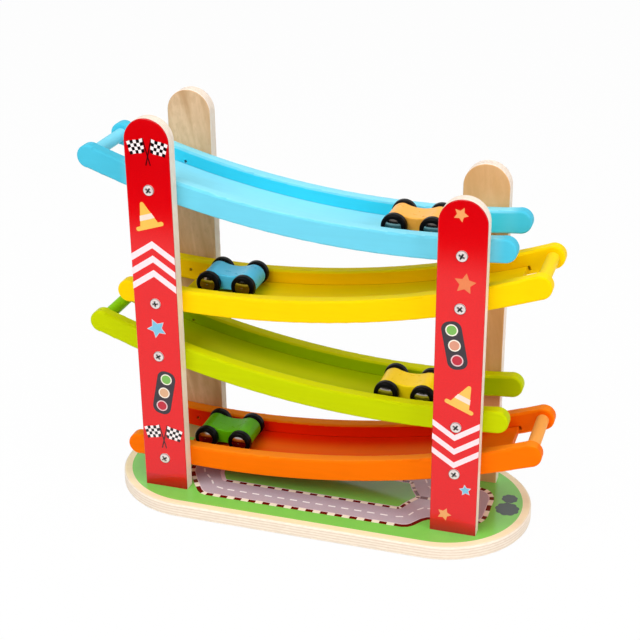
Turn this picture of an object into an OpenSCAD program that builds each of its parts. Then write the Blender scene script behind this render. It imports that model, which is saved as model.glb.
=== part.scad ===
// Click clack track: four curved ramps on four plywood posts, with a small two-way-up car on each ramp.
// The origin is the middle of the base board's underside, with +Z up and the shorter posts at +X.
// A ramp is drawn about its centre of curvature, with its high end at -X, and is turned about where needed.

/* [Base board] */
// Reach of the board past the middle of the posts, along the track
base_overhang = 58; // [50:1:90]
// Reach of the board past the outer faces of the posts
base_margin = 26.5; // [18:0.5:50]
// Thickness of the board
base_thick = 13; // [9:0.5:18]
// Rounding of the board's edge
base_edge = 2; // [1:0.5:4]

/* [Posts] */
// Width of a post, and diameter of its top
post_width = 40; // [34:1:46]
// Thickness of a post
post_thick = 12; // [9:0.5:15]
// Distance between the middles of the left and right posts
post_spacing = 264; // [250:1:276]
// Height of the left posts above the board
left_post_height = 344; // [325:1:380]
// Height of the right posts above the board
right_post_height = 301; // [290:1:340]
// Easing of the posts' edges
post_edge = 1; // [0.5:0.25:2]

/* [Ramps] */
// Radius of the curve along the rails' top edge
ramp_radius = 785; // [740:5:860]
// Distance of a ramp's lowest point from the middle of the posts at its low end
low_point_inset = 48; // [40:1:56]
// Height of the blue ramp's lowest point above the board
blue_ramp_height = 263; // [259:0.5:268]
// Height of the yellow ramp's lowest point above the board
yellow_ramp_height = 189.5; // [185:0.5:193]
// Height of the green ramp's lowest point above the board
green_ramp_height = 111; // [108:0.5:116]
// Height of the orange ramp's lowest point above the board
orange_ramp_height = 38; // [34:0.5:41]
// Overhang of the rails' high ends past the middle of the posts
high_overhang = 70; // [58:1:80]
// Overhang of the rails' low ends past the middle of the posts
low_overhang = 41; // [34:1:48]
// Clear width between the two rails
channel_width = 55; // [54:0.5:60]
// Thickness of a rail
rail_thick = 12; // [9:0.5:14]
// Height of a rail
rail_height = 20; // [19:0.5:24]
// Easing of the rails' edges
rail_edge = 2; // [1:0.25:3]
// Depth of the floor below the rails' top edge
floor_depth = 12; // [12:0.25:13.5]
// Thickness of the floor board
floor_thick = 4; // [2.5:0.25:4.5]
// How far the floor is let into each rail
groove_depth = 4; // [2:0.5:6]
// Gap between the floor and the end bar, which catches a falling car
catch_gap = 15; // [10:0.5:20]
// Length of the gap past the floor's low end, which lets a car fall
drop_gap = 51; // [46:1:60]
// How far the grooves run on past the floor's ends
groove_overrun = 2; // [1:0.5:4]
// Diameter of the end bar
bar_dia = 11; // [8:0.5:13]
// Depth of the end bar's holes in the rails
bar_seat = 6; // [3:0.5:7]

/* [Screws] */
// Head diameter of the ramp screws
screw_head_dia = 9.5; // [7:0.5:11]
// Straight edge of the ramp screws' heads
screw_head_rim = 0.8; // [0.4:0.1:1.5]
// Rise of the ramp screws' heads over that edge
screw_head_dome = 0.9; // [0.6:0.1:2.5]
// Shank diameter of the ramp screws
screw_shank_dia = 3; // [2.5:0.1:3.4]
// How far the ramp screws stop short of the rails' inner face
screw_tip_back = 1.5; // [0.5:0.25:4]
// Length of a slot in the cross recess
cross_length = 5.4; // [3:0.2:6]
// Width of a slot in the cross recess
cross_width = 1.5; // [0.8:0.1:1.8]
// Depth of the cross recess
cross_depth = 1.4; // [0.8:0.1:1.8]
// Head diameter of the base screws
base_screw_head_dia = 8; // [7:0.5:9]
// Shank diameter of the base screws
base_screw_shank_dia = 3.5; // [3:0.25:4.5]
// Length of the base screws' grip in the posts
base_screw_grip = 24; // [15:1:35]
// Distance between the two base screws of a post
base_screw_pitch = 22; // [14:1:24]
// Depth of the base screws' heads below the underside
base_screw_sink = 0.5; // [0.2:0.1:1]

/* [Cars] */
// Diameter of a wheel
wheel_dia = 21.4; // [20.5:0.1:22.4]
// Width of a wheel
wheel_width = 8; // [6:0.25:8.5]
// Rounding of a wheel's shoulders
wheel_shoulder = 2.4; // [1:0.2:3]
// Distance between the two axles
wheel_base = 32; // [28:0.5:34]
// Free width beside a car's wheels in its channel
side_play = 12.5; // [6:0.5:16]
// Gap between a wheel and the body
wheel_gap = 0.5; // [0.3:0.1:1]
// Diameter of the axles
axle_dia = 3; // [2:0.25:4]
// Diameter of a hub cap
hub_dia = 13.4; // [10:0.2:14.4]
// Edge thickness of a hub cap
hub_rim = 1.2; // [0.8:0.1:2]
// Rise of a hub cap over its edge
hub_dome = 0.7; // [0.4:0.1:1.4]
// Depth of the hub cap's seat in the wheel
hub_seat = 1.5; // [1.2:0.1:2.5]
// Height of the body over the axles
body_crest = 19; // [17:0.25:19.5]
// Height of the body at its waist
body_waist = 13; // [10:0.25:15]
// Easing of the body's edges
body_edge = 1.2; // [0.5:0.1:2]
// Place of the blue ramp's car, from the middle of the track towards the low end
blue_ramp_car = 85; // [-140:0.5:94]
// Place of the yellow ramp's car, from the middle of the track towards the low end
yellow_ramp_car = 82; // [-140:0.5:94]
// Place of the green ramp's car, from the middle of the track towards the low end
green_ramp_car = 80.5; // [-140:0.5:94]
// Place of the orange ramp's car, from the middle of the track towards the low end
orange_ramp_car = 89; // [-140:0.5:94]
// Sideways place of the blue ramp's car, from 1 at the rear rail to -1 at the front rail
blue_ramp_car_side = -0.64; // [-0.9:0.02:0.9]
// Sideways place of the yellow ramp's car, from 1 at the rear rail to -1 at the front rail
yellow_ramp_car_side = 0.64; // [-0.9:0.02:0.9]
// Sideways place of the green ramp's car, from 1 at the rear rail to -1 at the front rail
green_ramp_car_side = -0.82; // [-0.9:0.02:0.9]
// Sideways place of the orange ramp's car, from 1 at the rear rail to -1 at the front rail
orange_ramp_car_side = 0; // [-0.9:0.02:0.9]

/* [Clearances] */
// Gap round what is glued or pushed into wood
seat_gap = 0.1; // [0.05:0.05:0.2]
// Gap round an axle in its bore
axle_gap = 0.06; // [0.02:0.01:0.1]
// Gap between a resting wheel and the floor
ride_gap = 0.3; // [0.2:0.05:0.5]

/* [Hidden] */
$fn = 144;
cut = 1;

RAMPS = [0 : 3];
ramp_names = ["blue", "yellow", "green", "orange"];
ramp_colours = ["#58c8e6", "#fbd20a", "#c4d400", "#fa7a08"];
ramp_heights = [blue_ramp_height, yellow_ramp_height, green_ramp_height, orange_ramp_height];
ramp_turned = [false, true, false, true];
screw_turns = [[20, 30], [35, 10], [40, 40], [43, 38]];
car_names = ["orange", "blue", "yellow", "green"];
car_colours = ["#f4a03c", "#58b4dc", "#fad23c", "#5aa61e"];
car_places = [blue_ramp_car, yellow_ramp_car, green_ramp_car, orange_ramp_car];
car_sides = [blue_ramp_car_side, yellow_ramp_car_side, green_ramp_car_side, orange_ramp_car_side];

post_x = post_spacing / 2;
ramp_low_point = post_x - low_point_inset;
rail_mid_y = (channel_width + rail_thick) / 2;
post_inner_y = channel_width / 2 + rail_thick;
post_mid_y = post_inner_y + post_thick / 2;
post_outer_y = post_inner_y + post_thick;
clamped_depth = post_thick + rail_thick;
base_length = post_spacing + 2 * base_overhang;
base_width = 2 * (post_outer_y + base_margin);

rail_mid_radius = ramp_radius + rail_height / 2;
high_cap_x = rail_height / 2 - post_x - high_overhang;
low_cap_x = post_x + low_overhang - rail_height / 2;
end_swell = 0.1;
floor_radius = ramp_radius + floor_depth;
floor_high_x = high_cap_x + bar_dia / 2 + catch_gap;
floor_low_x = post_x + low_overhang - drop_gap;
floor_width = channel_width + 2 * (groove_depth - seat_gap);
bar_length = channel_width + 2 * (bar_seat - seat_gap);

axle_radius = floor_radius - wheel_dia / 2 - ride_gap;
car_radius = sqrt(axle_radius ^ 2 - (wheel_base / 2) ^ 2);
crest_radius = body_crest / 2;
waist_half = body_waist / 2;
waist_radius =
    ((wheel_base / 2) ^ 2 + waist_half ^ 2 - crest_radius ^ 2) / (2 * (crest_radius - waist_half));
waist_centre = waist_half + waist_radius;
waist_bite = 0.03;
wheel_track = channel_width - side_play - wheel_width;
body_width = wheel_track - wheel_width - 2 * wheel_gap;
axle_length = wheel_track + wheel_width - 2 * hub_seat;
hub_proud = hub_rim + hub_dome - hub_seat;

base_screw_cone = (base_screw_head_dia - base_screw_shank_dia) / 2;

// Angle from a ramp's lowest point to the place at x, along the arc of that radius
function swing(x, radius) = asin((x - ramp_low_point) / radius);

// Flat shapes shared by the boards, rails, wheels and screws

// A rectangle about the origin with eased corners
module eased_rect(width, height, easing) {
    difference() {
        square([width, height], center = true);
        for (sx = [-1, 1], sy = [-1, 1])
            translate([sx * (width / 2 - easing), sy * (height / 2 - easing)])
                difference() {
                    translate([sx > 0 ? 0 : -easing - cut, sy > 0 ? 0 : -easing - cut])
                        square(easing + cut);
                    circle(easing);
                }
    }
}

// The half of an eased rectangle that spins into a disc of that diameter
module disc_half(diameter, width, easing) {
    intersection() {
        eased_rect(diameter, width, easing);
        translate([0, -width])
            square([diameter, 2 * width]);
    }
}

// Half the outline of a disc with a straight rim under a dome
module dome_half(radius, rim, dome) {
    dome_radius = (radius ^ 2 + dome ^ 2) / (2 * dome);
    intersection() {
        square([radius, rim + dome]);
        translate([0, rim + dome - dome_radius])
            circle(dome_radius);
    }
}

// Places

// Puts what is drawn about a centre of curvature into ramp i
module at_ramp(i) {
    translate([0, 0, base_thick + ramp_heights[i] + ramp_radius])
        mirror([ramp_turned[i] ? 1 : 0, 0, 0])
            translate([ramp_low_point, 0, 0])
                children();
}

// Puts what is drawn about the origin onto the arc of that radius, at x along the ramp
module at_arc(x, radius) {
    rotate([0, -swing(x, radius), 0])
        translate([0, 0, -radius])
            children();
}

// Sweeps a section along a ramp. The section's X is the radius, and its Y points to the front
module sweep(from_x, to_x, radius) {
    from_angle = swing(from_x, radius);
    rotate([90, 0, 0])
        rotate([0, 0, from_angle - 90])
            rotate_extrude(angle = swing(to_x, radius) - from_angle)
                children();
}

// Turns a shape drawn along +Z to point to the front
module to_front() {
    rotate([90, 0, 0])
        children();
}

// Puts children on the axes of ramp i's screws, one at each post, each turned as far as it was driven
module at_ramp_screws(i) {
    at_ramp(i)
        for (end = [0, 1])
            at_arc((2 * end - 1) * post_x, rail_mid_radius)
                rotate([0, screw_turns[i][end], 0])
                    children();
}

// Puts children under a post, on the axes of its base screws
module at_base_screws() {
    for (x = [-1, 1] * base_screw_pitch / 2)
        translate([x, 0, 0])
            children();
}

module at_post(sx, sy) {
    translate([sx * post_x, sy * post_mid_y, 0])
        children();
}

// Puts children midway between the axles of the car on ramp i, with +X downhill
module at_car(i) {
    at_ramp(i)
        at_arc(car_places[i], car_radius)
            translate([0, car_sides[i] * (side_play / 2 - hub_proud), 0])
                children();
}

// Base board and posts

module base_board() {
    straight = base_length - base_width;
    color("#8cc653")
        difference() {
            translate([0, 0, base_thick / 2])
                union() {
                    rotate([90, 0, 90])
                        linear_extrude(straight, center = true)
                            eased_rect(base_width, base_thick, base_edge);
                    for (sx = [-1, 1])
                        translate([sx * straight / 2, 0, 0])
                            rotate([0, 0, -90 * sx])
                                rotate_extrude(angle = 180)
                                    disc_half(base_width, base_thick, base_edge);
                }
            for (sx = [-1, 1], sy = [-1, 1])
                at_post(sx, sy)
                    at_base_screws()
                        base_screw_hole();
        }
}

// A countersunk hole through the board, from its underside
module base_screw_hole() {
    translate([0, 0, -cut])
        cylinder(d = base_screw_head_dia + 2 * seat_gap, h = base_screw_sink + cut);
    translate([0, 0, base_screw_sink])
        cylinder(d1 = base_screw_head_dia + 2 * seat_gap, d2 = base_screw_shank_dia + 2 * seat_gap,
            h = base_screw_cone);
    cylinder(d = base_screw_shank_dia + 2 * seat_gap, h = base_thick + cut);
}

module post(sx, sy, height) {
    straight = height - post_width / 2;
    color("#d81422")
        difference() {
            at_post(sx, sy)
                translate([0, 0, base_thick]) {
                    linear_extrude(straight)
                        eased_rect(post_width, post_thick, post_edge);
                    translate([0, 0, straight])
                        to_front()
                            rotate_extrude(angle = 180)
                                disc_half(post_width, post_thick, post_edge);
                }
            for (i = RAMPS)
                at_ramp_screws(i)
                    to_front()
                        cylinder(d = screw_shank_dia + 2 * seat_gap, h = 2 * post_outer_y + cut, center = true);
            at_post(sx, sy)
                at_base_screws()
                    cylinder(d = base_screw_shank_dia, h = base_thick + base_screw_grip + cut);
        }
}

module front_left_post() {
    post(-1, -1, left_post_height);
}

module front_right_post() {
    post(1, -1, right_post_height);
}

module rear_left_post() {
    post(-1, 1, left_post_height);
}

module rear_right_post() {
    post(1, 1, right_post_height);
}

// Ramps

// A curved rail with full-round ends, at the front for side 1 and at the rear for side -1
module rail_blank(side) {
    sweep(high_cap_x, low_cap_x, rail_mid_radius)
        translate([rail_mid_radius, side * rail_mid_y])
            eased_rect(rail_height, rail_thick, rail_edge);
    for (x = [high_cap_x, low_cap_x])
        at_arc(x, rail_mid_radius)
            translate([0, -side * rail_mid_y, 0])
                to_front()
                    rotate_extrude()
                        disc_half(rail_height + 2 * end_swell, rail_thick + end_swell, rail_edge);
}

module rail(i, side) {
    color(ramp_colours[i])
        at_ramp(i)
            difference() {
                rail_blank(side);
                sweep(floor_high_x - groove_overrun, floor_low_x + groove_overrun, floor_radius)
                    translate([floor_radius + floor_thick / 2, 0])
                        square([floor_thick + 2 * seat_gap, channel_width + 2 * groove_depth], center = true);
                at_arc(high_cap_x, rail_mid_radius)
                    to_front()
                        cylinder(d = bar_dia + 2 * seat_gap, h = channel_width + 2 * bar_seat, center = true);
                for (x = [-post_x, post_x])
                    at_arc(x, rail_mid_radius)
                        to_front()
                            cylinder(d = screw_shank_dia, h = 2 * post_outer_y, center = true);
            }
}

module front_rail(i) {
    rail(i, 1);
}

module rear_rail(i) {
    rail(i, -1);
}

module floor_board(i) {
    color(ramp_colours[i])
        at_ramp(i)
            sweep(floor_high_x, floor_low_x, floor_radius)
                translate([floor_radius + floor_thick / 2, 0])
                    square([floor_thick, floor_width], center = true);
}

module end_bar(i) {
    color(ramp_colours[i])
        at_ramp(i)
            at_arc(high_cap_x, rail_mid_radius)
                to_front()
                    cylinder(d = bar_dia, h = bar_length, center = true);
}

// Screws

// A cross recess in a head whose top is at z = 0
module cross_recess() {
    for (turn = [0, 90])
        rotate([0, 0, turn])
            translate([0, 0, -cross_depth / 2 + cut / 2])
                cube([cross_length, cross_width, cross_depth + cut], center = true);
}

// A domed screw with the underside of its head at z = 0
module ramp_screw() {
    grip = clamped_depth - screw_tip_back;
    point = screw_shank_dia;
    difference() {
        rotate_extrude()
            dome_half(screw_head_dia / 2, screw_head_rim, screw_head_dome);
        translate([0, 0, screw_head_rim + screw_head_dome])
            cross_recess();
    }
    translate([0, 0, -grip + point])
        cylinder(d = screw_shank_dia, h = grip - point);
    translate([0, 0, -grip])
        cylinder(d1 = screw_shank_dia / 5, d2 = screw_shank_dia, h = point);
}

module ramp_screws() {
    color("#d2d2d0")
        for (i = RAMPS)
            at_ramp_screws(i)
                translate([0, -post_outer_y, 0])
                    to_front()
                        ramp_screw();
}

module front_screws() {
    ramp_screws();
}

module rear_screws() {
    mirror([0, 1, 0])
        ramp_screws();
}

// A countersunk screw with the top of its head at z = 0, pointing up
module base_screw() {
    length = base_thick - base_screw_sink + base_screw_grip;
    point = base_screw_shank_dia;
    difference() {
        cylinder(d1 = base_screw_head_dia, d2 = base_screw_shank_dia, h = base_screw_cone);
        mirror([0, 0, 1])
            cross_recess();
    }
    translate([0, 0, base_screw_cone])
        cylinder(d = base_screw_shank_dia, h = length - base_screw_cone - point);
    translate([0, 0, length - point])
        cylinder(d1 = base_screw_shank_dia, d2 = base_screw_shank_dia / 5, h = point);
}

module base_screws() {
    color("#d2d2d0")
        for (sx = [-1, 1], sy = [-1, 1])
            at_post(sx, sy)
                at_base_screws()
                    translate([0, 0, base_screw_sink])
                        base_screw();
}

// Cars

// The disc that hollows the body's waist, with a rim that eases the edges it leaves
module waist_cutter() {
    radius = waist_radius + waist_bite;
    kept = 4 * body_edge;
    rotate_extrude()
        difference() {
            translate([0, -body_width / 2 - cut])
                square([radius + body_edge, body_width + 2 * cut]);
            translate([radius + kept / 2, 0])
                eased_rect(kept, body_width, body_edge);
        }
}

// The body without its bores: two discs about the axles, joined by a hollowed waist
module body_blank() {
    half_base = wheel_base / 2;
    for (sx = [-1, 1])
        translate([sx * half_base, 0, 0])
            rotate_extrude()
                disc_half(body_crest, body_width, body_edge);
    difference() {
        linear_extrude(body_width, center = true)
            polygon([[-half_base, 0], [0, waist_centre], [half_base, 0], [0, -waist_centre]]);
        for (sy = [-1, 1])
            translate([0, sy * waist_centre, 0])
                waist_cutter();
    }
}

module car_body(i) {
    color(car_colours[i])
        at_car(i)
            to_front()
                difference() {
                    body_blank();
                    for (sx = [-1, 1])
                        translate([sx * wheel_base / 2, 0, 0])
                            cylinder(d = axle_dia + 2 * axle_gap, h = body_width + 2 * cut, center = true);
                }
}

// Puts children on the downhill axle of car i for end 1, and on the uphill one for end -1
module at_axle(i, end) {
    at_car(i)
        translate([end * wheel_base / 2, 0, 0])
            to_front()
                children();
}

// Puts children in both wheels of an axle, about the middle of the wheel, with +Z to the outside
module at_wheels() {
    for (side = [0, 1])
        mirror([0, 0, side])
            translate([0, 0, wheel_track / 2])
                children();
}

module axle(i, end) {
    color("#b4b4b4")
        at_axle(i, end)
            cylinder(d = axle_dia, h = axle_length, center = true);
}

module wheels(i, end) {
    color("#161616")
        at_axle(i, end)
            at_wheels()
                rotate_extrude()
                    difference() {
                        disc_half(wheel_dia, wheel_width, wheel_shoulder);
                        translate([0, -wheel_width])
                            square([axle_dia / 2, 2 * wheel_width]);
                        translate([0, wheel_width / 2 - hub_seat])
                            square([hub_dia / 2 + seat_gap, hub_seat + cut]);
                    }
}

module hubs(i, end) {
    color("#d8d8d6")
        at_axle(i, end)
            at_wheels()
                translate([0, 0, wheel_width / 2 - hub_seat])
                    rotate_extrude()
                        dome_half(hub_dia / 2, hub_rim, hub_dome);
}

base_board();
front_left_post();
front_right_post();
rear_left_post();
rear_right_post();
for (i = RAMPS) {
    front_rail(i);
    rear_rail(i);
    floor_board(i);
    end_bar(i);
}
front_screws();
rear_screws();
base_screws();
for (i = RAMPS) {
    car_body(i);
    axle(i, 1);
    axle(i, -1);
    wheels(i, 1);
    wheels(i, -1);
    hubs(i, 1);
    hubs(i, -1);
}
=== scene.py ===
"""Click clack track: four painted ramps between printed plywood posts, with four small cars."""

import math

import bmesh
import bpy
from mathutils import Matrix, Vector


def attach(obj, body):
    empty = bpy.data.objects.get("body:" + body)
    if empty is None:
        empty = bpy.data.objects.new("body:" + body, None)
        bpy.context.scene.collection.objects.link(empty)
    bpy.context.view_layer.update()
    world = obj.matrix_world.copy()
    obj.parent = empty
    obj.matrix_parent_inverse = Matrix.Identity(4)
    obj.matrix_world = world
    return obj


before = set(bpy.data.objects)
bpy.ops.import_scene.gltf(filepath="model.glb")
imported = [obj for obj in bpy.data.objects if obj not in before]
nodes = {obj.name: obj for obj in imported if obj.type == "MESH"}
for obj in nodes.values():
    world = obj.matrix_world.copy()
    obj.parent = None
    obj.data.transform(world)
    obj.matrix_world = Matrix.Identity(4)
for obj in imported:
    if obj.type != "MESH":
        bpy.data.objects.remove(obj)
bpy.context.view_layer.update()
scene = bpy.context.scene

# sizes in mm, in the CAD's frame

MM = 0.001
BASE_TOP = 13.0
POST_FACE = 51.5
POST_INNER = 39.5
POST_THICK = POST_FACE - POST_INNER
POST_HALF = 19.8
SCREW_FACE = POST_FACE + 0.9
PRINT_WRAP = 0.8
CHANNEL_SIDE = 27.5
LEFT, RIGHT = -132.0, 132.0
PRINT_LIFT = 0.05
PRINT_STEP = 0.05
KERB_BLOCK = 6.75
LONG_KERB_BLOCK = 11.0
ROAD_MIDDLE = -4.0

# finishes and light that several pieces share

PLY_LAYERS = 5.0
RAMP_GRAIN = (14, 300, 300)
BAR_GRAIN = (300, 14, 300)
RAMP_GLOSS = 0.03
RAMP_ROUGHNESS = (0.36, 0.46)
WORLD_LIGHT = 0.34


# colours and material nodes

def tone(red, green, blue):
    """A colour given as it looks on screen, 0 to 255, as the shader's own linear values."""
    parts = []
    for value in (red, green, blue):
        value /= 255.0
        parts.append(value / 12.92 if value <= 0.04045 else ((value + 0.055) / 1.055) ** 2.4)
    return (*parts, 1.0)


def shade(colour, factor):
    return (*(min(1.0, part * factor) for part in colour[:3]), 1.0)


class Nodes:
    """Short calls that add nodes to a tree, a material's or the world's."""

    def __init__(self, tree):
        self.tree = tree

    def add(self, kind, inputs=None, **settings):
        node = self.tree.nodes.new(kind)
        for key, value in settings.items():
            setattr(node, key, value)
        for key, value in (inputs or {}).items():
            self.feed(node.inputs[key], value)
        return node

    def feed(self, socket, value):
        if isinstance(value, bpy.types.NodeSocket):
            self.tree.links.new(value, socket)
        else:
            socket.default_value = value

    def calc(self, operation, *values, clamp=False):
        node = self.add("ShaderNodeMath", dict(enumerate(values)), operation=operation, use_clamp=clamp)
        return node.outputs[0]

    def span(self, value, low, high, to_low=0.0, to_high=1.0, smooth=False):
        """The value's place between low and high, spread from to_low to to_high."""
        return self.add("ShaderNodeMapRange", {0: value, 1: low, 2: high, 3: to_low, 4: to_high},
                        interpolation_type="SMOOTHSTEP" if smooth else "LINEAR").outputs[0]


class Finish(Nodes):
    """A material, with the nodes that feed its surface."""

    def __init__(self, name):
        self.material = bpy.data.materials.new(name)
        self.material.use_nodes = True
        super().__init__(self.material.node_tree)
        self.surface = self.tree.nodes["Principled BSDF"]
        where = self.add("ShaderNodeTexCoord").outputs
        self.place, self.facing = where["Object"], where["Normal"]

    def set(self, **values):
        for key, value in values.items():
            self.feed(self.surface.inputs[key.replace("_", " ")], value)

    def axes(self, vector=None):
        return self.add("ShaderNodeSeparateXYZ", {0: vector or self.place}).outputs

    def noise(self, scale, detail=3.0, distortion=0.0, place=None):
        """Noise with its own scale on each axis, in features per metre."""
        spot = self.add("ShaderNodeMapping", {"Vector": place or self.place, "Scale": scale}).outputs[0]
        inputs = {"Vector": spot, "Scale": 1.0, "Detail": detail, "Roughness": 0.55, "Distortion": distortion}
        return self.add("ShaderNodeTexNoise", inputs).outputs[0]

    def mix(self, factor, first, second):
        return self.add("ShaderNodeMix", {0: factor, 6: first, 7: second}, data_type="RGBA").outputs[2]

    def tint(self, colour, value):
        """The colour made lighter or darker by a value around 1."""
        return self.add("ShaderNodeMix", {0: 1.0, 6: colour, 7: value}, data_type="RGBA",
                        blend_type="MULTIPLY").outputs[2]

    def bump(self, height, strength, distance):
        node = self.add("ShaderNodeBump", {"Height": height, "Strength": strength, "Distance": distance})
        self.set(Normal=node.outputs[0])


# finishes

def painted_wood(finish, colour, grain, gloss, roughness, relief=0.12):
    """Satin paint over close-grained wood: the grain shows faintly in colour, gloss and relief."""
    streak = finish.noise(grain, 4.0)
    cloud = finish.noise((45, 45, 45), 2.0)
    peel = finish.noise((900, 900, 900), 2.0)
    colour = finish.tint(colour, finish.span(streak, 0.35, 0.7, 0.975, 1.01))
    finish.set(Base_Color=finish.tint(colour, finish.span(cloud, 0.3, 0.75, 1.0, 0.975)),
               Roughness=finish.span(streak, 0.3, 0.75, *roughness), Specular_IOR_Level=gloss)
    finish.bump(finish.calc("ADD", streak, finish.calc("MULTIPLY", peel, 0.4)), relief, 0.0001)
    return finish.material


def between_posts(finish, x, fade):
    """A value of 1 between the posts, which falls to a quarter over a share of their distance past them: how
    strongly the painted shade in the channels shows.
    """
    return finish.span(finish.calc("ABSOLUTE", x), RIGHT * MM, (1.0 + fade) * RIGHT * MM, 1.0, 0.25, True)


def rail_paint(name, face, top, wall, end=None):
    """A rail's paint with painted light: paler on top as a painted highlight, deeper on the channel's wall as
    painted shade, and in painted shadow past the posts where asked.
    """
    finish = Finish(name)
    x, y, _ = finish.axes()
    # upward faces take the paler top colour, a painted highlight
    colour = finish.mix(finish.span(finish.axes(finish.facing)[2], 0.78, 0.88), face, top)
    # a painted shadow of the posts on the rail's ends past them
    if end:
        past = finish.span(finish.calc("ABSOLUTE", x), 1.15 * RIGHT * MM, 1.25 * RIGHT * MM, smooth=True)
        colour = finish.mix(past, colour, end)
    # painted shade on the channel's wall, fading past the posts
    aside = finish.calc("ABSOLUTE", y)
    wall_shade = finish.span(aside, (CHANNEL_SIDE + 0.02) * MM, (CHANNEL_SIDE + 0.1) * MM, 1.0, 0.0)
    colour = finish.mix(finish.calc("MULTIPLY", wall_shade, between_posts(finish, x, 0.35)), colour, wall)
    return painted_wood(finish, colour, RAMP_GRAIN, RAMP_GLOSS, RAMP_ROUGHNESS)


def floor_paint(name, middle, shaded_corner, share):
    """A ramp floor's paint with painted light: paler in the middle as a painted highlight, deeper towards the
    rails as painted shade, with a dark line of painted shade along them.
    """
    finish = Finish(name)
    x, y, _ = finish.axes()
    aside = finish.calc("ABSOLUTE", y)
    # painted shade: deeper towards the rails, fading past the posts
    corner_shade = finish.span(aside, 0.0, 0.8 * CHANNEL_SIDE * MM, 0.5 * share, share, True)
    colour = finish.mix(finish.calc("MULTIPLY", corner_shade, between_posts(finish, x, 0.15)), middle, shaded_corner)
    # painted shade in the joint along the rails
    seam_shade = finish.span(aside, (CHANNEL_SIDE - 0.7) * MM, (CHANNEL_SIDE - 0.1) * MM, 1.0, 0.6)
    return painted_wood(finish, finish.tint(colour, seam_shade), RAMP_GRAIN, RAMP_GLOSS, RAMP_ROUGHNESS)


def bar_paint(name, colour):
    return painted_wood(Finish(name), colour, BAR_GRAIN, RAMP_GLOSS, RAMP_ROUGHNESS)


def car_paint(name, colour, gloss):
    return painted_wood(Finish(name), colour, (160, 160, 160), gloss, (0.26, 0.34), relief=0.03)


def ply_lines(finish, depth, thickness):
    """Mask of the darker glue lines between the layers of a plywood edge."""
    wander = finish.noise((40, 40, 40), 3.0)
    along = finish.calc("ADD", finish.calc("DIVIDE", depth, thickness),
                        finish.calc("MULTIPLY", finish.calc("SUBTRACT", wander, 0.5), 0.05))
    wave = finish.calc("PINGPONG", finish.calc("MULTIPLY", along, PLY_LAYERS), 0.5)
    return finish.span(wave, 0.1, 0.28, 1.0, 0.0, True)


def printed_ply():
    """The posts: red print outside, with painted shade at its foot and top, bare birch inside, pale layered
    edges.
    """
    finish = Finish("printed_ply")
    x, y, z = finish.axes()
    depth = finish.calc("SUBTRACT", finish.calc("ABSOLUTE", y), POST_INNER * MM)
    lean = finish.calc("MULTIPLY_ADD", z, 0.2, x)
    leaned = finish.add("ShaderNodeCombineXYZ", {0: lean, 1: y, 2: z}).outputs[0]
    bands = finish.noise((75, 75, 9), 4.0, 0.7, leaned)
    flecks = finish.noise((420, 420, 170), 3.0)
    birch = finish.mix(finish.span(bands, 0.36, 0.64), tone(232, 190, 148), tone(204, 156, 110))
    birch = finish.mix(finish.span(flecks, 0.45, 0.7, 0.0, 0.35), birch, tone(196, 150, 106))
    golden = finish.calc("MULTIPLY", finish.calc("GREATER_THAN", x, 0.0), 0.55)
    birch = finish.mix(golden, birch, tone(226, 168, 98))
    end_grain = finish.noise((700, 300, 160), 4.0)
    edge = finish.mix(finish.span(end_grain, 0.35, 0.7), tone(246, 232, 216), tone(236, 216, 198))
    lines = ply_lines(finish, depth, POST_THICK * MM)
    edge = finish.mix(finish.calc("MULTIPLY", lines, 0.32), edge, tone(208, 174, 144))
    wood = finish.mix(finish.span(depth, 0.0001, 0.0004, smooth=True), birch, edge)
    mottle = finish.noise((700, 700, 700), 3.0)
    red = finish.mix(finish.span(mottle, 0.35, 0.7), tone(222, 0, 8), tone(230, 0, 10))
    # painted shade on the red print: darker at the foot by the base and towards the top; also darker where it
    # turns round the post's edge
    red = finish.tint(red, finish.span(z, 0.013, 0.024, 0.55, 0.82))
    red = finish.tint(red, finish.span(z, 0.0235, 0.0255, 1.0, 1.22, True))
    red = finish.tint(red, finish.span(z, 0.24, 0.33, 1.0, 0.84, True))
    red = finish.tint(red, finish.span(depth, 0.0117, 0.01195, 0.7, 1.0, True))
    print_edge = POST_THICK - PRINT_WRAP
    printed = finish.span(depth, print_edge * MM, (print_edge + 0.2) * MM, smooth=True)
    finish.set(Base_Color=finish.mix(printed, wood, red), IOR=1.5,
               Roughness=finish.calc("ADD", finish.span(printed, 0.0, 1.0, 0.5, 0.07),
                                     finish.span(mottle, 0.3, 0.7, 0.0, 0.04)))
    finish.bump(finish.mix(printed, finish.mix(0.5, bands, flecks), mottle), 0.05, 0.0002)
    return finish.material


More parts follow.
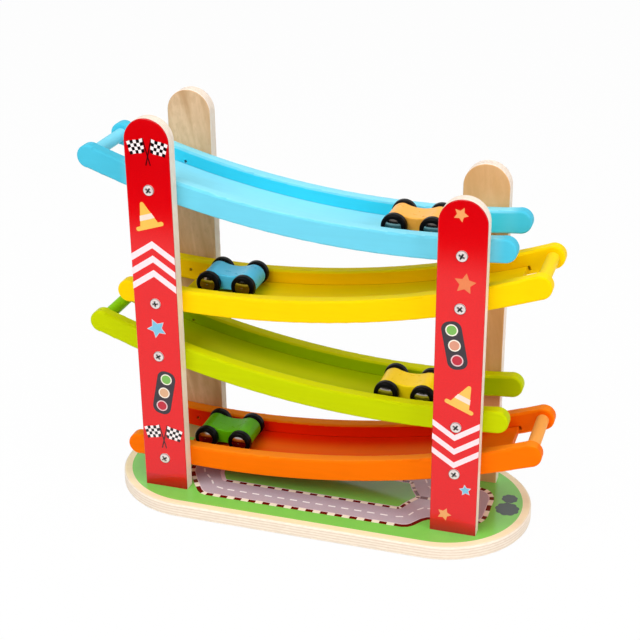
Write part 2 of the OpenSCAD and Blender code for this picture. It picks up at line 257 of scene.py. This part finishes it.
def layered_base():
    """The base board: birch faces and a rounded edge that shows its layers."""
    finish = Finish("layered_base")
    z = finish.axes()[2]
    figure = finish.noise((8, 70, 70), 4.0, 0.8)
    rings = finish.calc("PINGPONG", finish.calc("MULTIPLY", figure, 8.0), 1.0)
    face = finish.mix(finish.span(rings, 0.0, 1.0, 0.0, 0.6), tone(252, 236, 196), tone(246, 226, 184))
    end_grain = finish.noise((260, 260, 700), 4.0)
    edge = finish.mix(finish.span(end_grain, 0.35, 0.7), tone(248, 236, 218), tone(240, 224, 204))
    lines = ply_lines(finish, z, BASE_TOP * MM)
    edge = finish.mix(finish.calc("MULTIPLY", lines, 0.42), edge, tone(208, 178, 148))
    skin = finish.calc("MAXIMUM", finish.span(z, (BASE_TOP - 0.3) * MM, (BASE_TOP - 0.05) * MM, smooth=True),
                       finish.span(z, 0.0004, 0.0008, 1.0, 0.0, True))
    wood = finish.mix(skin, edge, face)
    speck = finish.add("ShaderNodeVectorMath", {0: finish.place, 1: (0.1816, -0.0566, 0.0042)},
                       operation="DISTANCE").outputs["Value"]
    wood = finish.mix(finish.span(speck, 0.0005, 0.0011, 1.0, 0.0, True), wood, tone(58, 48, 40))
    finish.set(Base_Color=wood, IOR=1.5, Roughness=finish.span(end_grain, 0.3, 0.7, 0.42, 0.55))
    finish.bump(finish.mix(skin, end_grain, rings), 0.1, 0.0002)
    return finish.material


def brushed_metal(name, colour, roughness, scale):
    finish = Finish(name)
    brush = finish.noise(scale, 4.0)
    finish.set(Base_Color=finish.mix(finish.span(brush, 0.3, 0.7), shade(colour, 0.9), colour), Metallic=1.0,
               Roughness=finish.span(brush, 0.3, 0.7, *roughness))
    finish.bump(brush, 0.05, 0.00008)
    return finish.material


def plated_screw():
    """The screws: pale zinc plate, with painted shade in their recessed cross."""
    finish = Finish("plated_screw")
    brush = finish.noise((600, 600, 600), 4.0)
    out = finish.calc("ABSOLUTE", finish.axes()[1])
    outward = finish.calc("GREATER_THAN", finish.calc("ABSOLUTE", finish.axes(finish.facing)[1]), 0.5)
    sideways = finish.calc("SUBTRACT", 1.0, outward)
    # painted shade: the cross's floor and walls are painted dark and less metallic
    floor = finish.calc("MULTIPLY", outward, finish.calc("LESS_THAN", out, SCREW_FACE * MM))
    walls = finish.calc("MULTIPLY", sideways, finish.calc("GREATER_THAN", out, (SCREW_FACE - 0.05) * MM))
    recess_shade = finish.calc("MAXIMUM", floor, walls)
    plate = finish.mix(finish.span(brush, 0.3, 0.7), tone(226, 214, 212), tone(244, 232, 228))
    finish.set(Base_Color=finish.mix(recess_shade, plate, tone(30, 24, 24)),
               Metallic=finish.span(recess_shade, 0.0, 1.0, 0.35, 0.1),
               Roughness=finish.span(brush, 0.3, 0.7, 0.34, 0.48))
    finish.bump(brush, 0.08, 0.0001)
    return finish.material


def moulded_black():
    """The wheels: black moulded plastic with a faint texture."""
    finish = Finish("moulded_black")
    pebble = finish.noise((1400, 1400, 1400), 3.0)
    finish.set(Base_Color=finish.mix(finish.span(pebble, 0.35, 0.7), tone(5, 4, 5), tone(12, 11, 12)),
               Roughness=finish.span(pebble, 0.3, 0.7, 0.3, 0.42), Specular_IOR_Level=0.07)
    finish.bump(pebble, 0.12, 0.00015)
    return finish.material


def ink(name, colour, roughness=0.1, mottle=0.05):
    """Glossy print: flat ink with a fine screen mottle."""
    finish = Finish(name)
    screen = finish.noise((900, 900, 900), 3.0)
    patch = finish.noise((70, 70, 70), 2.0)
    spread = finish.calc("ADD", finish.calc("MULTIPLY", screen, 0.6), finish.calc("MULTIPLY", patch, 0.4))
    finish.set(Base_Color=finish.mix(finish.span(spread, 0.35, 0.65), shade(colour, 1.0 - mottle),
                                     shade(colour, 1.0 + mottle * 0.6)),
               Roughness=finish.span(screen, 0.3, 0.7, roughness, roughness + 0.05), IOR=1.5)
    finish.bump(screen, 0.04, 0.0001)
    return finish.material


# per ramp: paint, paler top as painted highlight, wall colour as painted shade, and for the blue ramp the
# painted post shadow at the ends
rail_finish = {
    "blue": rail_paint("blue_rail_paint", tone(112, 207, 231), tone(140, 221, 240), tone(60, 208, 234),
                       tone(76, 192, 220)),
    "yellow": rail_paint("yellow_rail_paint", tone(254, 210, 2), tone(255, 216, 12), tone(255, 200, 0)),
    "green": rail_paint("green_rail_paint", tone(194, 207, 1), tone(206, 215, 2), tone(154, 186, 0)),
    "orange": rail_paint("orange_rail_paint", tone(253, 116, 1), tone(255, 136, 24), tone(244, 40, 0))}
# per ramp: paler lit middle as painted highlight, darker colour towards the rails as painted shade, and how
# strongly that shade shows
floor_finish = {
    "blue": floor_paint("blue_floor_paint", tone(140, 221, 240), tone(60, 208, 234), 0.0),
    "yellow": floor_paint("yellow_floor_paint", tone(255, 209, 6), tone(255, 200, 0), 0.7),
    "green": floor_paint("green_floor_paint", tone(204, 213, 2), tone(150, 184, 0), 0.8),
    "orange": floor_paint("orange_floor_paint", tone(255, 130, 14), tone(244, 40, 0), 1.0)}
# the orange bar's pale tone is a painted highlight: the lit side of its orange paint spread over the whole
# bar
bar_finish = {"blue": bar_paint("blue_bar_paint", tone(126, 214, 236)),
              "yellow": bar_paint("yellow_bar_paint", tone(252, 214, 34)),
              "green": bar_paint("green_bar_paint", tone(146, 212, 2)),
              "orange": bar_paint("orange_bar_paint", tone(250, 168, 80))}
car_finish = {"orange": car_paint("orange_car_paint", tone(252, 176, 66), 0.22),
              "blue": car_paint("blue_car_paint", tone(86, 206, 246), 0.22),
              "yellow": car_paint("yellow_car_paint", tone(255, 224, 10), 0.12),
              "green": car_paint("green_car_paint", tone(98, 182, 4), 0.1)}
post_finish = printed_ply()
base_finish = layered_base()
screw_finish = plated_screw()
axle_finish = brushed_metal("axle_steel", tone(200, 200, 202), (0.2, 0.3), (900, 60, 900))
hub_finish = brushed_metal("hub_chrome", tone(170, 162, 156), (0.08, 0.14), (300, 300, 300))
tyre_finish = moulded_black()

grass_ink = ink("grass_ink", tone(128, 210, 90))
road_ink = ink("road_ink", tone(190, 176, 186), mottle=0.08)
kerb_dark = ink("kerb_dark", tone(104, 20, 14))
kerb_light = ink("kerb_light", tone(246, 240, 216))
kerb_line = ink("kerb_line", tone(236, 216, 224))
line_white = ink("line_white", tone(250, 248, 246))
bush_ink = ink("bush_ink", tone(62, 78, 72))
flag_black = ink("flag_black", tone(20, 10, 14))
flag_white = ink("flag_white", tone(250, 236, 236))
pole_ink = ink("pole_ink", tone(66, 4, 12))
cone_yellow = ink("cone_yellow", tone(246, 192, 82))
cone_band = ink("cone_band", tone(250, 222, 206))
chevron_ink = ink("chevron_ink", tone(252, 226, 230))
star_blue = ink("star_blue", tone(120, 190, 218))
star_rim = ink("star_rim", tone(216, 208, 216))
star_amber = ink("star_amber", tone(240, 164, 98))
star_orange = ink("star_orange", tone(230, 126, 72))
lamp_box = ink("lamp_box", tone(50, 40, 48))
lamp_ring = ink("lamp_ring", tone(248, 236, 220))
lamp_green = ink("lamp_green", tone(120, 180, 80))
lamp_peach = ink("lamp_peach", tone(218, 170, 130))
lamp_pink = ink("lamp_pink", tone(218, 148, 120))
lamp_red = ink("lamp_red", tone(190, 26, 50))
lamp_red_ring = ink("lamp_red_ring", tone(238, 196, 200))


# finishes on the CAD nodes

def dress(name, material):
    piece = nodes[name].data
    piece.materials.clear()
    piece.materials.append(material)


for name in nodes:
    colour = name.split("_")[0]
    if name == "base_board":
        dress(name, base_finish)
    elif name.endswith("_post"):
        dress(name, post_finish)
    elif name.endswith("_screws"):
        dress(name, screw_finish)
    elif name.endswith("_axle"):
        dress(name, axle_finish)
    elif name.endswith("_wheels"):
        dress(name, tyre_finish)
    elif name.endswith("_hubs"):
        dress(name, hub_finish)
    elif "_car_" in name:
        dress(name, car_finish[colour])
    elif name.endswith("_rail"):
        dress(name, rail_finish[colour])
    elif name.endswith("_floor"):
        dress(name, floor_finish[colour])
    elif name.endswith("_bar"):
        dress(name, bar_finish[colour])


# print on the base and the posts

def on_base(layer):
    """Places a flat print, drawn in mm on the XY plane, on the base's top."""
    return Matrix.Scale(MM, 4) @ Matrix.Translation((0, 0, BASE_TOP + PRINT_STEP * layer))


def on_post(centre, rear):
    """Places a flat print, drawn in mm across and up from a post's foot, on the post's outer face."""
    def place(layer):
        turn = Matrix.Rotation(math.pi, 4, "Z") if rear else Matrix.Identity(4)
        side = Matrix.Translation((centre, (POST_FACE if rear else -POST_FACE), BASE_TOP))
        lift = Matrix.Translation((0, -PRINT_STEP * layer, 0))
        upright = Matrix.Rotation(math.pi / 2, 4, "X")
        return Matrix.Scale(MM, 4) @ side @ turn @ lift @ upright
    return place


class Print:
    """One printed motif: flat cut-outs in several inks, each a thin closed sheet."""

    def __init__(self, name, place, slot):
        self.name, self.place, self.slot = name, place, slot
        self.bm = bmesh.new()
        self.inks = []

    def index(self, material):
        if material not in self.inks:
            self.inks.append(material)
        return self.inks.index(material)

    def thicken(self, sheet, layer, shape=None):
        """Turns a flat bmesh into a sheet with a back just inside the surface, and adds it to the motif."""
        faces = sheet.faces[:]
        bmesh.ops.recalc_face_normals(sheet, faces=faces)
        if faces[0].normal.z < 0:
            bmesh.ops.reverse_faces(sheet, faces=faces)
        raised = bmesh.ops.extrude_face_region(sheet, geom=faces)
        bmesh.ops.translate(sheet, verts=[v for v in raised["geom"] if isinstance(v, bmesh.types.BMVert)],
                            vec=(0, 0, PRINT_LIFT + PRINT_STEP))
        bmesh.ops.translate(sheet, verts=sheet.verts, vec=(0, 0, -PRINT_LIFT))
        if shape is not None:
            bmesh.ops.transform(sheet, matrix=shape, verts=sheet.verts)
        bmesh.ops.transform(sheet, matrix=self.place(layer), verts=sheet.verts)
        bmesh.ops.recalc_face_normals(sheet, faces=sheet.faces)
        spare = bpy.data.meshes.new("spare")
        sheet.to_mesh(spare)
        self.bm.from_mesh(spare)
        bpy.data.meshes.remove(spare)
        sheet.free()

    def cut(self, points, material, layer=0, rounding=0.0, shape=None):
        """A cut-out with straight sides, its corners rounded where asked."""
        sheet = bmesh.new()
        sheet.faces.new([sheet.verts.new((x, y, 0)) for x, y in points])
        if rounding:
            bmesh.ops.bevel(sheet, geom=sheet.verts[:], offset=rounding, offset_type="OFFSET", segments=6,
                            profile=0.5, affect="VERTICES", material=-1)
        for face in sheet.faces:
            face.material_index = self.index(material)
        self.thicken(sheet, layer, shape)

    def disc(self, centre, radius, material, layer=0, lobes=0, stretch=1.0):
        """A round cut-out, scalloped where asked."""
        sheet = bmesh.new()
        bmesh.ops.create_circle(sheet, cap_ends=True, segments=max(32, lobes * 8), radius=radius)
        for vert in sheet.verts:
            if lobes:
                angle = math.atan2(vert.co.y, vert.co.x)
                vert.co *= 1.0 - 0.11 * (1.0 - abs(math.sin(angle * lobes / 2.0)))
            vert.co.x *= stretch
        for face in sheet.faces:
            face.material_index = self.index(material)
        self.thicken(sheet, layer, Matrix.Translation((*centre, 0)))

    def finish(self):
        mesh = bpy.data.meshes.new(self.name)
        self.bm.to_mesh(mesh)
        self.bm.free()
        for material in self.inks:
            mesh.materials.append(material)
        piece = bpy.data.objects.new(self.name, mesh)
        scene.collection.objects.link(piece)
        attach(piece, "track")
        return piece


def leaning(x, y, degrees):
    return Matrix.Translation((x, y, 0)) @ Matrix.Rotation(math.radians(degrees), 4, "Z")


def star(motif, x, y, radius, turn, material, rim=None):
    """A plump five-pointed star, with a pale rim where asked."""
    layers = [(radius, rim), (radius - 1.1, material)] if rim else [(radius, material)]
    for layer, (size, colour) in enumerate(layers):
        points = []
        for k in range(10):
            reach = size if k % 2 == 0 else size * 0.5
            angle = math.radians(turn + 36 * k)
            points.append((reach * math.cos(angle), reach * math.sin(angle)))
        motif.cut(points, colour, layer, 0.35, leaning(x, y, 0))


def cone(motif, x, y, turn):
    """A traffic cone with a pale band, standing on its foot."""
    at = leaning(x, y, turn)
    motif.cut([(-13.0, -1.9), (13.0, -1.9), (13.0, 1.9), (-13.0, 1.9)], cone_yellow, 0, 1.85, at)
    motif.cut([(-8.7, 1.2), (8.7, 1.2), (1.2, 21.9), (-1.2, 21.9)], cone_yellow, 1, 1.1, at)
    motif.cut([(-7.1, 6.2), (7.1, 6.2), (5.6, 10.8), (-5.6, 10.8)], cone_band, 2, 0.0, at)


def traffic_light(motif, x, y, turn, middle):
    """A traffic light with three lamps in pale rings."""
    at = leaning(x, y, turn)
    motif.cut([(-8.5, -21.4), (8.5, -21.4), (8.5, 21.4), (-8.5, 21.4)], lamp_box, 0, 7.0, at)
    for up, colour, ring in ((13.6, lamp_green, lamp_ring), (0.0, middle, lamp_ring),
                             (-13.3, lamp_red, lamp_red_ring)):
        centre = at @ Vector((0, up, 0))
        motif.disc(centre[:2], 5.2, ring, 1)
        motif.disc(centre[:2], 4.2, colour, 2)


def chevrons(motif, apex_x, tops, slope, thickness):
    """Broad chevrons from edge to edge of the post; a negative slope points them down."""
    for top in tops:
        sides = [(-POST_HALF, top - slope * (apex_x + POST_HALF)), (apex_x, top),
                 (POST_HALF, top - slope * (POST_HALF - apex_x))]
        away = -thickness if slope > 0 else thickness
        motif.cut(sides + [(u, v + away) for u, v in reversed(sides)], chevron_ink)


def crossed_flags(motif, aside, rise):
    """Two chequered flags on crossed poles."""
    for mirror in (1.0, -1.0):
        pole = Vector((-4.0, 328.5 + rise)), Vector((2.0, 305.2 + rise))
        across = Vector((pole[1].y - pole[0].y, pole[0].x - pole[1].x)).normalized() * 0.55
        ends = [pole[0] - across, pole[0] + across, pole[1] + across, pole[1] - across]
        motif.cut([(mirror * p.x + aside, p.y) for p in ends], pole_ink, 0 if mirror > 0 else 1)
        cloth = bmesh.new()
        bmesh.ops.create_grid(cloth, x_segments=5, y_segments=4, size=0.5)
        white, black = motif.index(flag_white), motif.index(flag_black)
        for face in cloth.faces:
            middle = face.calc_center_median()
            column, row = int((middle.x + 0.5) * 5), int((middle.y + 0.5) * 4)
            face.material_index = white if (column + row) % 2 else black
        corners = Vector((-15.2, 313.2)), Vector((-2.4, 316.6)), Vector((-18.3, 324.3)), Vector((-4.2, 328.2))
        for vert in cloth.verts:
            u, v = vert.co.x + 0.5, vert.co.y + 0.5
            low, high = corners[0].lerp(corners[1], u), corners[2].lerp(corners[3], u)
            spot = low.lerp(high, v) + Vector((0.0, 0.35 * math.sin(u * 2 * math.pi)))
            vert.co = (mirror * spot.x + aside, spot.y + rise, 0.0)
        motif.thicken(cloth, 1 if mirror > 0 else 2)


def print_tall_post(name, place):
    """The tall posts' print, from the top: flags, cone, chevrons, star, traffic light, flags."""
    motif = Print(name + "_flags", place, "red_post")
    crossed_flags(motif, 0.9, -1.0)
    crossed_flags(motif, 0.0, -265.5)
    motif.finish()
    motif = Print(name + "_cone", place, "red_post")
    cone(motif, -0.95, 251.05, 17.5)
    motif.finish()
    motif = Print(name + "_chevrons", place, "red_post")
    chevrons(motif, 0.0, (238.0, 225.1, 212.0), 0.675, 6.2)
    motif.finish()
    motif = Print(name + "_star", place, "red_post")
    star(motif, -0.3, 157.5, 9.4, -27.5, star_blue, star_rim)
    motif.finish()
    motif = Print(name + "_traffic_light", place, "red_post")
    traffic_light(motif, 2.9, 95.6, -11.6, lamp_peach)
    motif.finish()


def print_short_post(name, place):
    """The short posts' print, from the top: stars, traffic light, cone, chevrons, stars."""
    motif = Print(name + "_stars", place, "red_post")
    star(motif, -2.0, 288.7, 6.3, -7.0, star_amber)
    star(motif, 3.2, 231.3, 9.2, 11.5, star_orange)
    star(motif, 9.8, 43.6, 5.6, 26.5, star_blue, star_rim)
    star(motif, -7.6, 17.3, 6.4, -2.0, star_amber)
    motif.finish()
    motif = Print(name + "_traffic_light", place, "red_post")
    traffic_light(motif, -3.6, 176.6, 11.4, lamp_pink)
    motif.finish()
    motif = Print(name + "_cone", place, "red_post")
    cone(motif, 1.9, 121.65, -22.8)
    motif.finish()
    motif = Print(name + "_chevrons", place, "red_post")
    chevrons(motif, -0.9, (89.4, 76.4, 63.4), -0.66, 5.5)
    motif.finish()


def kerbed(motif, points, rounding, inside, layer, width, pitch, plain):
    """An area edged by a kerb of dark and light blocks, which are one colour where plain says so."""
    sheet = bmesh.new()
    sheet.faces.new([sheet.verts.new((x, y, 0)) for x, y in points])
    bmesh.ops.bevel(sheet, geom=sheet.verts[:], offset=rounding, offset_type="OFFSET", segments=2,
                    profile=0.5, affect="VERTICES", material=-1)
    for edge in sheet.edges[:]:
        cuts = round(edge.calc_length() / pitch(edge.verts[0].co)) - 1
        if cuts > 0:
            bmesh.ops.subdivide_edges(sheet, edges=[edge], cuts=cuts)
    area = sheet.faces[:][0]
    bmesh.ops.inset_region(sheet, faces=[area], thickness=width, use_boundary=True, use_even_offset=True)
    area.material_index = motif.index(inside)
    for k, loop in enumerate(area.loops):
        for block in loop.edge.link_faces:
            if block != area:
                stripe = kerb_light if k % 2 else kerb_dark
                block.material_index = motif.index(plain(block.calc_center_median()) or stripe)
    border = bmesh.ops.inset_region(sheet, faces=[area], thickness=0.7, use_even_offset=True)
    for face in border["faces"]:
        face.material_index = motif.index(kerb_line)
    motif.thicken(sheet, layer)


grass = Print("grass", on_base, "printed_base")
sheet = bmesh.new()
bmesh.ops.create_grid(sheet, x_segments=1, y_segments=1, size=1.0)
bmesh.ops.scale(sheet, vec=(182.5, 70.5, 1), verts=sheet.verts)
bmesh.ops.bevel(sheet, geom=sheet.verts[:], offset=70.4, offset_type="OFFSET", segments=24, profile=0.5,
                affect="VERTICES", material=-1)
for face in sheet.faces:
    face.material_index = grass.index(grass_ink)
grass.thicken(sheet, 0)
grass.finish()

road = Print("road", on_base, "printed_base")
road_corners = [(-99, -55.5), (94, -55.5), (107, -36), (147, -36), (156, -24), (156, 16), (147, 28),
                (107, 28), (94, 47.5), (-99, 47.5), (-114, 26), (-124, 8), (-124, -16), (-114, -34)]
kerbed(road, road_corners, rounding=6.0, inside=road_ink, layer=1, width=4.0,
       pitch=lambda at: LONG_KERB_BLOCK if at.x > 110 else KERB_BLOCK,
       plain=lambda at: kerb_dark if 85 < at.x < 125 and abs(at.y - ROAD_MIDDLE) > 25 else None)
island_corners = [(-87, -28.5), (80, -28.5), (85, -17), (93, -4), (85, 9), (80, 20.5), (-87, 20.5), (-95, 6),
                  (-95, -14)]
kerbed(road, island_corners, rounding=3.0, inside=grass_ink, layer=2, width=3.0,
       pitch=lambda at: KERB_BLOCK,
       plain=lambda at: kerb_line if at.x < -84 else None)
for k in range(5):
    start = 92.5 + KERB_BLOCK * k
    end = start + KERB_BLOCK
    road.cut([(start, -6.1), (end, -6.1), (end, -1.9), (start, -1.9)], kerb_light if k % 2 else kerb_dark, 2)
road.finish()

centre_line = Print("centre_line", on_base, "printed_base")
dashes = [(-74 + 11.9 * k, -41.0, 0.0) for k in range(13)]
dashes += [(82.5, -40.0, 14), (91, -32.5, 66), (97.0, -22.5, 48), (106, -20, 4), (118, -20, 0),
           (130, -17, 30), (136.5, -8.5, 74), (-85, -40, -12), (-95, -32.5, -58), (-102, -24, -44),
           (-109.5, -15, -64)]
for x, y, turn in dashes:
    for mirrored in (False, True):
        at = leaning(x, 2 * ROAD_MIDDLE - y if mirrored else y, -turn if mirrored else turn)
        centre_line.cut([(-3.3, -0.8), (3.3, -0.8), (3.3, 0.8), (-3.3, 0.8)], line_white, 2, 0.0, at)
centre_line.finish()

bush = Print("bush", on_base, "printed_base")
bush.disc((169.0, 16.5), 7.2, bush_ink, 1, 8)
bush.disc((170.0, -1.0), 10.7, bush_ink, 2, 9)
bush.finish()

print_tall_post("front_left_print", on_post(LEFT, False))
print_short_post("front_right_print", on_post(RIGHT, False))
print_tall_post("rear_left_print", on_post(LEFT, True))
print_short_post("rear_right_print", on_post(RIGHT, True))


# camera

def aim_camera():
    yaw, pitch, roll = (math.radians(a) for a in (17.77, 24.51, -0.52))
    ahead = Vector((-math.sin(yaw) * math.cos(pitch), math.cos(yaw) * math.cos(pitch), -math.sin(pitch)))
    right = Vector((math.cos(yaw), math.sin(yaw), 0.0))
    up = right.cross(ahead)
    across = right * math.cos(roll) + up * math.sin(roll)
    above = up * math.cos(roll) - right * math.sin(roll)
    data = bpy.data.cameras.new("studio_camera")
    data.lens, data.sensor_width, data.clip_end = 79.57, 36.0, 50.0
    camera = bpy.data.objects.new("studio_camera", data)
    basis = Matrix((across, above, -ahead)).transposed().to_4x4()
    camera.matrix_world = Matrix.Translation((0.338633, -1.060821, 0.680868)) @ basis
    scene.collection.objects.link(camera)
    scene.camera = camera


aim_camera()


# floor, light and background

def softbox(name, place, target, size, power):
    data = bpy.data.lights.new(name, "AREA")
    data.shape, data.size, data.size_y, data.energy = "RECTANGLE", *size, power
    lamp = bpy.data.objects.new(name, data)
    lamp.location = place
    lamp.rotation_euler = (Vector(target) - Vector(place)).to_track_quat("-Z", "Y").to_euler()
    scene.collection.objects.link(lamp)


def studio_floor():
    mesh = bpy.data.meshes.new("studio_floor")
    plane = bmesh.new()
    bmesh.ops.create_grid(plane, x_segments=1, y_segments=1, size=6.0)
    bmesh.ops.translate(plane, verts=plane.verts, vec=(0, 0, -0.0003))
    plane.to_mesh(mesh)
    plane.free()
    floor = bpy.data.objects.new("studio_floor", mesh)
    scene.collection.objects.link(floor)
    finish = Finish("studio_floor")
    paper = finish.noise((40, 40, 40), 3.0)
    finish.set(Base_Color=finish.mix(finish.span(paper, 0.3, 0.7), tone(238, 238, 238), tone(242, 242, 242)),
               Roughness=finish.span(paper, 0.3, 0.7, 0.7, 0.8), Specular_IOR_Level=0.1)
    rays = finish.add("ShaderNodeLightPath").outputs
    lit = finish.span(finish.axes()[1], -0.74, -0.62, 0.0, 1.0, True)
    strength = finish.mix(rays["Is Glossy Ray"], (1, 1, 1, 1), lit)
    glow = finish.add("ShaderNodeEmission", {"Strength": strength}).outputs[0]
    seen = finish.calc("MAXIMUM", finish.calc("MULTIPLY", rays["Is Camera Ray"], 0.97),
                       finish.calc("MAXIMUM", rays["Is Glossy Ray"], rays["Is Transmission Ray"]))
    blend = finish.add("ShaderNodeMixShader", {0: seen, 1: finish.surface.outputs[0], 2: glow}).outputs[0]
    finish.tree.links.new(blend, finish.tree.nodes["Material Output"].inputs["Surface"])
    mesh.materials.append(finish.material)


def studio_world():
    """White where the camera looks, bright behind the object in gloss, and dim as a lamp."""
    world = bpy.data.worlds.new("studio_world")
    scene.world = world
    world.use_nodes = True
    sky = Nodes(world.node_tree)
    rays = sky.add("ShaderNodeLightPath").outputs
    around = sky.add("ShaderNodeTexCoord").outputs["Generated"]
    behind = sky.add("ShaderNodeSeparateXYZ", {0: around}).outputs["Y"]
    mirrored = sky.span(behind, -0.3, 0.3, 0.35, 1.0)
    shiny = sky.calc("MAXIMUM", rays["Is Glossy Ray"], rays["Is Transmission Ray"])
    level = sky.add("ShaderNodeMix", {0: shiny, 2: WORLD_LIGHT, 3: mirrored}).outputs[0]
    level = sky.add("ShaderNodeMix", {0: rays["Is Camera Ray"], 2: level, 3: 1.0}).outputs[0]
    background = sky.tree.nodes["Background"].inputs
    sky.feed(background["Strength"], level)
    sky.feed(background["Color"], (1, 1, 1, 1))


studio_floor()
studio_world()
softbox("key_softbox", place=(-0.5, -1.25, 1.42), target=(0, 0, 0.15), size=(1.4, 1.0), power=21.0)
softbox("top_softbox", place=(0.1, 0.0, 1.8), target=(0, 0, 0.15), size=(1.2, 1.0), power=9.5)
softbox("right_softbox", place=(1.4, -0.5, 0.9), target=(0, 0, 0.18), size=(0.8, 0.8), power=10.0)

scene.view_settings.view_transform = "Standard"
